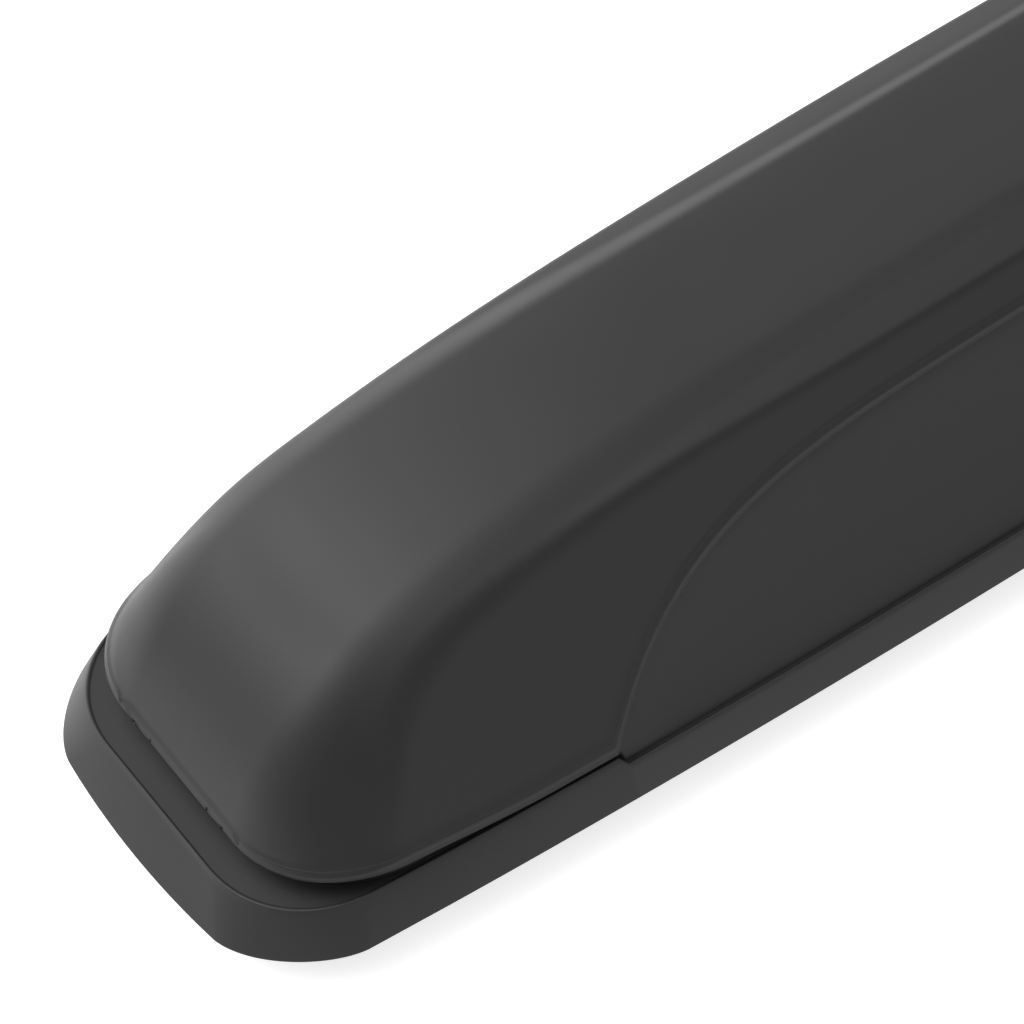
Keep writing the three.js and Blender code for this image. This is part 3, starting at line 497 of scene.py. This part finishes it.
    def normal(self, u: Array, a: Array) -> Array:
        """Unit outward normal of the outer face, by finite differences."""
        h = 0.5
        back = np.maximum(u - h, LID_FOOT.front)
        ahead = np.minimum(u + h, LENGTH - LID_FOOT.rear)
        rise = self.height(ahead, np.abs(a)) - self.height(back, np.abs(a))
        across = self.height(u, np.abs(a + h)) - self.height(u, np.abs(a - h))
        made = np.stack([-rise / (ahead - back), -across / (2 * h), np.ones_like(u)], -1)
        return made / np.linalg.norm(made, axis=-1, keepdims=True)


# ---- meshes --------------------------------------------------------------------------------------
def in_frame(points: Array, lift: float) -> Array:
    """Points measured from the flange's nose end and lower edge, as metres in the frame."""
    moved = points - np.array([MID, 0.0, 0.0])
    return moved * METRE + np.array([0.0, 0.0, lift])


def make_mesh(name: str, points: Array, quads: Array) -> bpy.types.Object:
    """Links a smooth mesh object.

    Args:
        name: The piece's name.
        points: Vertices as an (n, 3) array in metres.
        quads: Faces as an (m, 4) array; a repeated corner makes a triangle.

    Returns:
        The new object, at the origin and unturned.
    """
    mesh = bpy.data.meshes.new(name)
    same = (quads == np.roll(quads, 1, axis=1)).any(axis=1)
    triangles = [list(dict.fromkeys(q)) for q in quads[same].tolist()]
    mesh.from_pydata(points.tolist(), [], quads[~same].tolist() + triangles)
    mesh.polygons.foreach_set("use_smooth", np.ones(len(mesh.polygons), bool))
    mesh.update()
    made = bpy.data.objects.new(name, mesh)
    bpy.context.scene.collection.objects.link(made)
    return made


def grid_quads(rows: int, columns: int, start: int, flip: bool) -> Array:
    """Quads of a grid of points that begins at vertex start."""
    at = start + np.arange(rows * columns).reshape(rows, columns)
    corners = [at[:-1, :-1], at[1:, :-1], at[1:, 1:], at[:-1, 1:]]
    quads = np.stack(corners, -1).reshape(-1, 4)
    return quads[:, ::-1] if flip else quads


@dataclass
class LidSkin:
    """Fine skin of the lid, with the band along its lower edge.

    Args:
        form: The lid's heights.
        columns: Columns on each side of the middle line.
        band: Width of the band along the edge.
        proud: How far the band stands out.
        slits: Distances from the middle line of the small gaps in the nose's edge.
        slit_height: Height of those gaps.
        nose_length: Length at the nose over which the rows lie closer together.
        tail_length: The same at the tail.
        crowding: Power by which they crowd towards the end.
    """

    form: LidForm = field(default_factory=LidForm)
    columns: int = 64
    band: float = LIP_BAND
    proud: float = 1.6
    slits: tuple[float, ...] = (-67.0, 67.0)
    slit_height: float = 5.0
    nose_length: float = 324.0
    tail_length: float = 255.0
    crowding: float = 1.9

    def stations(self) -> Array:
        """Distances along the box of the rows, close together at both ends."""
        near = np.linspace(0, 1, 60) ** self.crowding
        far = np.linspace(1, 0, 44) ** self.crowding
        nose = LID_FOOT.front + self.nose_length * near
        tail = LENGTH - LID_FOOT.rear - self.tail_length * far
        middle = np.arange(nose[-1] + 8, tail[0] - 4, 8.0)
        middle[np.argmin(np.abs(middle - self.form.arch_start))] = self.form.arch_start
        return np.concatenate([nose, middle, tail])

    def edge_distance(self, points: Array, u: Array) -> Array:
        """Distance of each outer point from the nearest point of the lower edge."""
        fine = np.linspace(u[0], u[-1], 1100)
        side = np.stack([fine, self.form.edge_across(fine), self.form.lower_edge(fine)], -1)
        ends = []
        for end, height in ((u[0], side[0, 2]), (u[-1], side[-1, 2])):
            a = np.arange(0.0, side[0, 1], 2.0)
            ends.append(np.stack([0 * a + end, a, 0 * a + height], -1))
        curve = np.concatenate([side, *ends])
        found = np.empty(points.shape[:2])
        for i, row in enumerate(points):
            gap = row[:, None] * [1, 0, 1] + np.abs(row[:, None]) * [0, 1, 0] - curve[None]
            found[i] = np.sqrt((gap**2).sum(-1).min(1))
        return found

    def build(self, lift: float) -> bpy.types.Object:
        """Makes the skin.

        Outer and inner sheets share a grid: rows along the box, columns at equal shares of the
        distance out to the lower edge. The inner sheet lies one skin inside, and the two are
        joined round the edge.

        Args:
            lift: Height of the flange's lower edge in the frame, in metres.

        Returns:
            The lid's skin.
        """
        u1 = self.stations()
        edge = self.form.edge_across(u1)
        share = np.linspace(-1, 1, 2 * self.columns + 1)
        u, s = np.meshgrid(u1, share, indexing="ij")
        a = s * edge[:, None]
        z = self.form.height(u, np.abs(a))
        z[:, 0] = z[:, -1] = self.form.lower_edge(u1)
        rim = np.zeros(u.shape, bool)
        rim[[0, -1]] = rim[:, [0, -1]] = True
        normal = self.form.normal(u, a * np.where(rim, 0.999, 1.0))
        normal[rim, 2] = 0
        normal /= np.linalg.norm(normal, axis=-1, keepdims=True)
        outer = np.stack([u, a, z], -1)
        away = self.edge_distance(outer, u1)
        inner = outer - normal * SKIN
        out = self.proud * (1 - ease((away - self.band + 1.5) / 5))
        outer = outer + normal * out[..., None]
        for slit in self.slits:
            j = np.argmin(np.abs(a[0] - slit))
            outer[0, j, 2] += self.slit_height
            inner[0, j, 2] += self.slit_height
        made = self._mesh(outer, inner, lift)
        self._attribute(made, "edge", np.concatenate([away.ravel(), away.ravel() + 60]))
        line = 1 - 0.8 * ease((u - 600) / 60) * ease((LENGTH - u - 480) / 60)
        self._attribute(made, "line", np.concatenate([line.ravel(), 0 * line.ravel()]))
        return made

    def _mesh(self, outer: Array, inner: Array, lift: float) -> bpy.types.Object:
        rows, columns = outer.shape[:2]
        count = rows * columns
        at = np.arange(count).reshape(rows, columns)
        ring = np.concatenate([at[0, :-1], at[:-1, -1], at[-1, :0:-1], at[:0:-1, 0]])
        after = np.roll(ring, -1)
        edge = np.stack([ring, after, after + count, ring + count], -1)
        outside = grid_quads(rows, columns, 0, False)
        inside = grid_quads(rows, columns, count, True)
        points = np.concatenate([outer.reshape(-1, 3), inner.reshape(-1, 3)])
        quads = np.concatenate([outside, inside, edge])
        return make_mesh("lid_skin", in_frame(points, lift), quads)

    def _attribute(self, made: bpy.types.Object, name: str, values: Array) -> None:
        made.data.attributes.new(name, "FLOAT", "POINT").data.foreach_set(
            "value", values.astype(np.float32)
        )


@dataclass
class TraySkin:
    """Fine skin of the base tray: floor, wall, side panels, groove, bead and flange.

    Args:
        form: The lid's heights, which the wall's top follows.
        rounding: Points in each rounded corner of the section.
        hollow: How far the side panels are dished.
        upstand: Wall's top above the lid's lower edge.
        clearance: From the lid's outer face to the wall's, across.
        fold: Width of the wall's top.
        rim_height: Height of the bead at the ends.
        bead_height: Height of the bead along the sides.
        floor: Height of the floor.
        ledge: Height of the wall's foot at the ends.
        foot_inset: Wall's foot inside the lid's edge at the ends.
        side_foot_inset: Wall's foot inside the flange along the sides.
        side_rim_inset: Bead inside the flange along the sides.
        slot: Length, width and height of the cut for each clamp, in metres.
    """

    form: LidForm = field(default_factory=LidForm)
    rounding: int = 5
    hollow: float = 3.0
    upstand: float = 14.0
    clearance: float = 9.0
    fold: float = 14.0
    rim_height: float = 59.5
    bead_height: float = 50.0
    floor: float = 8.0
    ledge: float = 57.0
    foot_inset: float = 14.0
    side_foot_inset: float = 22.0
    side_rim_inset: float = 15.0
    slot: tuple[float, float, float] = (0.22, 0.013, 0.02)

    def half_loop(self, outline: Outline) -> tuple[Array, Array]:
        """Half an outline from the middle of the nose to the middle of the tail."""
        rear = LENGTH - outline.rear
        turn = np.linspace(0, math.pi / 2, 49)[:-1]
        bend = 1 - np.cos(turn) ** (2 / outline.power)
        nose = outline.front + outline.nose[0] * bend
        tail = (rear - outline.tail[0] * bend)[::-1]
        start = self.form.arch_start
        # Closer together where the arch starts and ends.
        side = np.concatenate([
            np.linspace(255, start - 12, 44), np.linspace(start - 8, start + 16, 17),
            np.linspace(start + 22, LENGTH - 420, 150), np.linspace(LENGTH - 412, LENGTH - 396, 9),
            np.linspace(LENGTH - 390, LENGTH - 215, 30),
        ])
        across = np.linspace(0, 1, 33)[:-1]
        front = np.full_like(across, outline.front)
        end = np.full_like(across, rear)
        u = np.concatenate([front, nose, side, tail, end])
        a = outline.width(u)
        a[: len(across)] *= across
        a[-len(across):] *= across[::-1]
        widest = outline.half - outline.bow
        toe = outline.toe * (a / widest) ** 2 * (1 - ease((u - outline.front) / 400))
        return np.where(u < MID, u + toe, u), a

    def loop(self, ends: Outline, side, end_height, side_height) -> Array:
        """Half loop with one outline and height at the ends and another along the sides."""
        u, a = self.half_loop(ends)
        start = self.form.arch_start
        share = clamp01((u - start) / 8) * clamp01((LENGTH - self.form.arch_end - u) / 8)
        z0, z1 = end_height(u) + 0 * u, side_height(u) + 0 * u
        return np.stack([u, a + (side(u) - a) * share, z0 + (z1 - z0) * share], -1)

    def wall_loop(self, extra: float, lower: float) -> Array:
        """Loop along the wall's top, drawn in by extra and lowered."""
        def top(u: Array) -> Array:
            return self.form.lower_edge(u) + self.upstand

        def across(u: Array) -> Array:
            rise = top(u) - self.form.foot(u)
            return LID_FOOT.width(u) - rise / self.form.wall - self.clearance - extra

        ends = LID_FOOT.inset(self.upstand / self.form.wall + self.clearance + extra)
        return self.loop(ends, across, lambda u: top(u) - lower, lambda u: top(u) - lower)

    def foot_loop(self, extra: float, end: float, side: float) -> Array:
        """Loop along the wall's foot, drawn in by extra."""
        def across(u: Array) -> Array:
            return FLANGE.width(u) - self.side_foot_inset - extra

        ends = LID_FOOT.inset(self.foot_inset + extra)
        return self.loop(ends, across, lambda u: end, lambda u: side)

    def rim_loop(self, extra: float, lower: float) -> Array:
        """Loop along the bead round the flange's top."""
        def across(u: Array) -> Array:
            return FLANGE.width(u) - self.side_rim_inset - extra

        ends = NOSE_RIM.inset(extra)
        return self.loop(
            ends, across, lambda u: self.rim_height - lower, lambda u: self.bead_height - lower
        )

    def flange_loop(self, extra: float) -> Array:
        """Loop along the flange's lower edge."""
        u, a = self.half_loop(FLANGE.inset(extra))
        return np.stack([u, a, 0 * u], -1)

    def section(self) -> list[tuple[Array, float]]:
        """Loops across the section, from the floor's upper face round to its lower, with radii."""
        slant = SKIN * 1.1
        groove = self.bead_height - 4
        loops = [
            (self.foot_loop(20, self.floor, self.floor), 0.0),
            (self.foot_loop(16, self.ledge, groove), 2.0),
            (self.wall_loop(self.fold, 0), 2.0),
            (self.wall_loop(0, 0), 1.5),
        ]
        top, low = loops[-1][0], self.foot_loop(0, self.ledge, groove)
        for t in (0.15, 0.35, 0.55, 0.75, 0.9):
            dished = top + (low - top) * t
            depth = self.hollow * 4 * t * (1 - t) * ease((top[:, 2] - 110) / 80)
            dished[:, 1] -= depth
            loops.append((dished, 30.0))
        return loops + [
            (low, 0.8),
            (self.rim_loop(4.2, 1.6), 1.0),
            (self.rim_loop(2.2, 0), 1.2),
            (self.rim_loop(0.2, 0), 1.2),
            (self.rim_loop(-2.5, 5), 3.0),
            (self.flange_loop(0), 0.8),
            (self.flange_loop(SKIN), 0.8),
            (self.rim_loop(slant, 6.5), 2.0),
            (self.foot_loop(slant, self.ledge - SKIN, groove - SKIN), 1.0),
            (self.wall_loop(slant, SKIN), 1.0),
            (self.wall_loop(self.fold - slant, SKIN), 1.0),
            (self.foot_loop(16 - slant, self.ledge, groove), 1.5),
            (self.foot_loop(20 - slant, self.floor - SKIN, self.floor - SKIN), 0.0),
        ]

    def rounded(self, loops: list[tuple[Array, float]]) -> list[Array]:
        """The section's loops with a short curve in place of each corner.

        Each curve is the quadratic Bezier whose ends lie a radius along the two neighbouring
        sides, or just under half of a side where that is shorter.
        """
        made = [loops[0][0]]
        steps = np.linspace(0, 1, self.rounding)
        for (before, _), (here, radius), (after, _) in zip(loops, loops[1:], loops[2:]):
            ends = []
            for other in (before, after):
                way = other - here
                length = np.linalg.norm(way, axis=1, keepdims=True) + 1e-9
                ends.append(here + way * np.minimum(radius / length, 0.48))
            for t in steps if radius < 20 else (0.5,):
                made.append((1 - t) ** 2 * ends[0] + 2 * t * (1 - t) * here + t * t * ends[1])
        return [*made, loops[-1][0]]

    def build(self, lift: float) -> bpy.types.Object:
        """Makes the skin, its floor filled across above and below, and cuts the clamp slots.

        Args:
            lift: Height of the flange's lower edge in the frame, in metres.

        Returns:
            The tray's skin.
        """
        halves = self.rounded(self.section())
        flipped = np.array([1.0, -1.0, 1.0])
        full = np.stack([np.concatenate([h, (h[1:-1] * flipped)[::-1]]) for h in halves])
        rows, count = full.shape[:2]
        at = np.arange(rows * count).reshape(rows, count)
        after = np.roll(at, -1, axis=1)
        skin = np.stack([at[:-1], after[:-1], after[1:], at[1:]], -1).reshape(-1, 4)
        half = np.arange(count // 2)
        mirror = (count - np.arange(count)) % count
        cap = np.stack([half, mirror[half], mirror[half + 1], half + 1], -1)
        under = (rows - 1) * count + cap[:, ::-1]
        quads = np.concatenate([skin, cap, under])
        made = make_mesh("tray_skin", in_frame(full.reshape(-1, 3), lift), quads)
        self._cut_slots(made)
        return made

    def _cut_slots(self, made: bpy.types.Object) -> None:
        for name in ("nose_left", "nose_right", "tail_left", "tail_right"):
            low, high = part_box(f"{name}_carrier")
            middle = (low + high) / 2
            bpy.ops.mesh.primitive_cube_add(size=1.0, location=(middle.x, middle.y, high.z))
            cutter = bpy.context.object
            cutter.scale = self.slot
            cut = made.modifiers.new("slot", "BOOLEAN")
            cut.object, cut.operation, cut.solver = cutter, "DIFFERENCE", "EXACT"
            bpy.context.view_layer.objects.active = made
            bpy.ops.object.modifier_apply(modifier=cut.name)
            bpy.data.objects.remove(cutter)


# ---- everything shown ----------------------------------------------------------------------------
@dataclass
class Hardware:
    """The parts shown as they are: each takes its slot's finish and crisp shading.

    Args:
        record: The part's record.
        finishes: Slot name to material.
        crisp: Angle in degrees beyond which an edge is drawn sharp.
    """

    record: dict
    finishes: dict[str, bpy.types.Material]
    crisp: float = 32.0

    def dress(self, nodes: dict[str, bpy.types.Object]) -> None:
        """Gives every shown node its finish.

        Args:
            nodes: Node name to object, as the frame holds them.
        """
        slots = {s["node"]: s["material_slot"] for s in self.record["subparts"]}
        for name, shown in nodes.items():
            shown.data.materials.clear()
            shown.data.materials.append(self.finishes[slots[name]])
            shown.data.polygons.foreach_set("use_smooth", np.ones(len(shown.data.polygons), bool))
            shown.data.set_sharp_from_angle(angle=math.radians(self.crisp))
            shown.data.update()


@dataclass
class Studio:
    """Pale floor, soft light from all round and the camera.

    Args:
        turn: Camera's turn from looking along +Y, in degrees.
        tilt: Its angle above the horizon.
        roll: Its roll about its own line of sight.
        distance: Distance to the aim point, in metres.
        lens: Focal length for the sensor.
        sensor: Width of the sensor, in millimetres.
        aim_right: From the origin to the aim point towards the camera's right, in metres.
        aim_up: The same towards the camera's top.
        origin: Point on the middle line, near the nose and as high as the lid's edge.
        surround: Strength of the dim light from all round.
        glow: Strength of the floor's own light.
        floor_size: Side of the floor, in metres.
    """

    turn: float = 20.55
    tilt: float = 50.89
    roll: float = 15.0
    distance: float = 16.0
    lens: float = 457.9
    sensor: float = 36.0
    aim_right: float = 0.34496
    aim_up: float = 0.28457
    origin: tuple[float, float, float] = (-0.92731, 0.0, 0.09079)
    surround: float = 0.03
    glow: float = 0.75
    floor_size: float = 60.0

    def camera(self, lift: float) -> None:
        """Places the camera.

        Args:
            lift: Height of the flange's lower edge in the frame, in metres.
        """
        turn, tilt, roll = (math.radians(v) for v in (self.turn, self.tilt, self.roll))
        right = Vector((math.cos(turn), -math.sin(turn), 0))
        flat = Vector((math.sin(turn), math.cos(turn), 0))
        up = flat * math.sin(tilt) + Vector((0, 0, math.cos(tilt)))
        ahead = flat * math.cos(tilt) - Vector((0, 0, math.sin(tilt)))
        side = right * math.cos(roll) - up * math.sin(roll)
        top = right * math.sin(roll) + up * math.cos(roll)
        aim = Vector(self.origin) + Vector((0, 0, lift))
        aim += side * self.aim_right + top * self.aim_up
        data = bpy.data.cameras.new("camera")
        data.lens, data.sensor_width = self.lens, self.sensor
        data.clip_start, data.clip_end = 0.1, 200.0
        made = bpy.data.objects.new("camera", data)
        bpy.context.scene.collection.objects.link(made)
        turned = Matrix((side, top, -ahead)).transposed()
        made.matrix_world = Matrix.Translation(aim - ahead * self.distance) @ turned.to_4x4()
        bpy.context.scene.camera = made

    def floor(self, height: float) -> None:
        """Pale, faintly glowing floor under the object, lightly mottled."""
        bpy.ops.mesh.primitive_plane_add(size=self.floor_size, location=(0, 0, height - 0.001))
        plane = bpy.context.object
        plane.name = "floor"
        made = bpy.data.materials.new("floor")
        made.use_nodes = True
        graph = Graph(made.node_tree)
        place = graph.sock("ShaderNodeTexCoord", "Object")
        cloud = graph.sock("ShaderNodeTexNoise", 0, {}, {"Vector": place, "Scale": 1.5})
        base = graph.mix(cloud, (0.5, 0.5, 0.5), (0.53, 0.53, 0.53))
        inputs = {"Base Color": base, "Roughness": 0.9, "Emission Color": (1, 1, 1, 1)}
        inputs["Emission Strength"] = self.glow
        shader = graph.sock("ShaderNodeBsdfPrincipled", 0, {}, inputs)
        graph.node("ShaderNodeOutputMaterial", {}, {"Surface": shader})
        plane.data.materials.append(made)
        plane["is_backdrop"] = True

    def light(self) -> None:
        """Soft light: a dim surround and broad patches, each a smooth lobe round a direction."""
        patches = (
            # direction, strength, narrowness
            ((-0.48, 0.46, 0.75), 7.5, 13.0),
            ((-0.3, 0.02, 0.95), 3.5, 14.0),
            ((0.3, 0.5, 0.8), 0.5, 8.0),
            ((0.0, 0.98, 0.1), 3.6, 9.0),
            ((-0.3, 0.94, -0.17), 0.9, 7.0),
            ((0.2, -0.56, 0.8), 2.4, 12.0),
        )
        world = bpy.data.worlds.new("studio")
        world.use_nodes = True
        bpy.context.scene.world = world
        graph = Graph(world.node_tree)
        way = graph.sock("ShaderNodeTexCoord", "Generated")
        total = graph.sock("ShaderNodeValue", 0)
        total.socket.default_value = self.surround
        for direction, strength, narrow in patches:
            unit = Vector(direction).normalized()
            inputs = {0: way, 1: unit}
            facing = graph.sock("ShaderNodeVectorMath", 1, {"operation": "DOT_PRODUCT"}, inputs)
            total = total + strength * ((facing - 1.0) * narrow).math("EXPONENT")
        surround = graph.sock("ShaderNodeBackground", 0, {}, {"Strength": total})
        graph.node("ShaderNodeOutputWorld", {}, {"Surface": surround})


def numbers(corners: tuple[Vector, Vector]) -> list[list[float]]:
    """Two corners as plain lists of numbers."""
    return [[float(v) for v in corner] for corner in corners]


def main() -> None:
    """Builds the finishes, the skins, the hardware and the studio, in that order."""
    logging.basicConfig(level=logging.INFO, format="%(name)s: %(message)s")
    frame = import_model()
    sizes = {"cad": numbers(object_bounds())}
    finishes = {f.slot: f.build() for f in FINISHES}
    low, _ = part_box("base_tray")
    lift = low.z
    Hardware(frame["record"], finishes).dress(frame["nodes"])
    LOG.info("%d parts dressed", len(frame["nodes"]))
    for skin, body, node, slot in (
        (LidSkin(), "lid", "lid_shell", "lid_skin"),
        (TraySkin(), "tray", "base_tray", "tray_skin"),
    ):
        made = skin.build(lift)
        made.data.materials.append(finishes[slot])
        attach(made, body)
        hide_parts(node)
        LOG.info("%s: %d faces", made.name, len(made.data.polygons))
    studio = Studio()
    studio.floor(sizes["cad"][0][2])
    studio.light()
    studio.camera(lift)
    bpy.context.scene.view_settings.view_transform = "Standard"
    sizes["looks"] = numbers(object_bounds())
    LOG.info("sizes %s", sizes)


if __name__ == "__main__":
    main()
